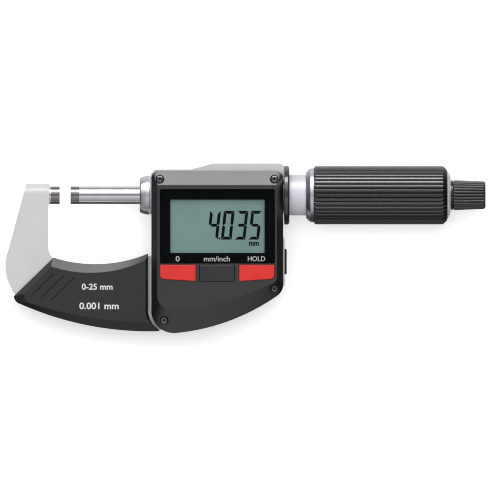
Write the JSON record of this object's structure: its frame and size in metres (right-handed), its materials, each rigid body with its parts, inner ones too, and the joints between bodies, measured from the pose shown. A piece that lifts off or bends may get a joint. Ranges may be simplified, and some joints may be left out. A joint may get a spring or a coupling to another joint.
{
  "type": "digital outside micrometer",
  "caption": "Digital outside micrometer with a C-frame, a display housing with push buttons, a ribbed thimble and a friction-drive knob.",
  "frame": {"origin": "centre of the anvil's measuring face, on the spindle axis", "axes": "+X along the measuring axis from the anvil to the ratchet knob, +Y from the bow towards the measuring axis, +Z out of the display; the tool lies on its back cover"},
  "size_m": [0.1778, 0.0628, 0.0247],
  "materials": {
    "lacquer": "semi-gloss light grey lacquer",
    "satin_steel": "satin chrome-plated steel",
    "polished_steel": "polished hardened steel",
    "carbide": "ground tungsten carbide",
    "black_shell": "fine matt",
    "dark_plate": "fine matt",
    "black_grip": "semi-matt",
    "button_red": "satin",
    "button_black": "satin",
    "window": "glossy, black border",
    "lcd": "satin reflective panel",
    "board_green": "solder resist",
    "chip_black": "moulded",
    "rubber_black": "matt",
    "black_screw": "black oxide",
    "brass": "turned",
    "nickel": "nickel plate",
    "holder_white": "moulded",
    "copper_flex": "polyimide",
    "steel": "ground",
    "aluminium_disc": "turned"
  },
  "bodies": {
    "frame_group": {"frame": "lacquer", "anvil": "polished_steel", "anvil_tip": "carbide", "front_insulator": "dark_plate", "rear_insulator": "dark_plate", "front_cover": "black_shell", "rear_cover": "black_shell", "display_window": "window", "lcd_panel": "lcd", "display_holder": "holder_white", "contact_strips": "rubber_black", "circuit_board": "board_green", "board_spacers": "brass", "board_screws": "steel", "processor_chip": "chip_black", "button_switches": "nickel", "front_gasket": "rubber_black", "rear_gasket": "rubber_black", "cover_screws": "black_screw", "rear_screws": "black_screw", "battery": "nickel", "battery_contacts": "brass", "battery_lid_seal": "rubber_black", "port_connector": "chip_black", "spindle_guide": "steel", "spindle_seal": "rubber_black", "encoder_stator": "board_green", "rotor_thrust_ring": "brass", "encoder_flex": "copper_flex", "sleeve_ring": "black_shell", "inner_sleeve": "steel", "outer_sleeve": "satin_steel", "adjusting_nut": "brass"},
    "lock_ring_body": {"lock_ring": "satin_steel"},
    "zero_button_body": {"zero_button": "button_red"},
    "unit_button_body": {"unit_button": "button_black"},
    "hold_button_body": {"hold_button": "button_red"},
    "port_cap_body": {"port_cap": "rubber_black"},
    "battery_lid_body": {"battery_lid": "black_shell"},
    "rotor": {"encoder_rotor": "aluminium_disc", "rotor_key": "steel"},
    "spindle_group": {"spindle": "polished_steel", "spindle_tip": "carbide", "thimble": "satin_steel", "thimble_grip": "black_grip", "thimble_end_cap": "satin_steel", "friction_washer": "rubber_black", "ratchet_screw": "steel", "ratchet_springs": "steel"},
    "ratchet_group": {"ratchet_knob": "black_grip"}
  },
  "joints": [
    {"name": "thimble_turn", "type": "hinge", "parent": "frame_group", "child": "rotor", "pos_m": [0.0625, 0, 0], "axis": [1, 0, 0], "range_deg": [-2905.21, 15094.81]},
    {"name": "spindle_feed", "type": "slide", "parent": "rotor", "child": "spindle_group", "axis": [1, 0, 0], "range_m": [-0.00404, 0.02097]},
    {"name": "ratchet_spin", "type": "hinge", "parent": "spindle_group", "child": "ratchet_group", "pos_m": [0.15, 0, 0], "axis": [1, 0, 0], "continuous": true},
    {"name": "lock_ring_turn", "type": "hinge", "parent": "frame_group", "child": "lock_ring_body", "pos_m": [0.0315, 0, 0], "axis": [1, 0, 0], "range_deg": [0, 45]},
    {"name": "zero_button_press", "type": "slide", "parent": "frame_group", "child": "zero_button_body", "axis": [0, 0, -1], "range_m": [0, 0.0005], "stiffness_N_per_m": 900},
    {"name": "unit_button_press", "type": "slide", "parent": "frame_group", "child": "unit_button_body", "axis": [0, 0, -1], "range_m": [0, 0.0005], "stiffness_N_per_m": 900},
    {"name": "hold_button_press", "type": "slide", "parent": "frame_group", "child": "hold_button_body", "axis": [0, 0, -1], "range_m": [0, 0.0005], "stiffness_N_per_m": 900},
    {"name": "port_cap_pull", "type": "slide", "parent": "frame_group", "child": "port_cap_body", "axis": [1, 0, 0], "range_m": [0, 0.006]},
    {"name": "battery_lid_turn", "type": "hinge", "parent": "frame_group", "child": "battery_lid_body", "pos_m": [0.05768, -0.02604, -0.0103], "axis": [0, 0, 1], "range_deg": [0, 45]}
  ],
  "couplings": [
    {"joint": "thimble_turn", "follows": "spindle_feed", "rad_per_m": 12566}
  ]
}
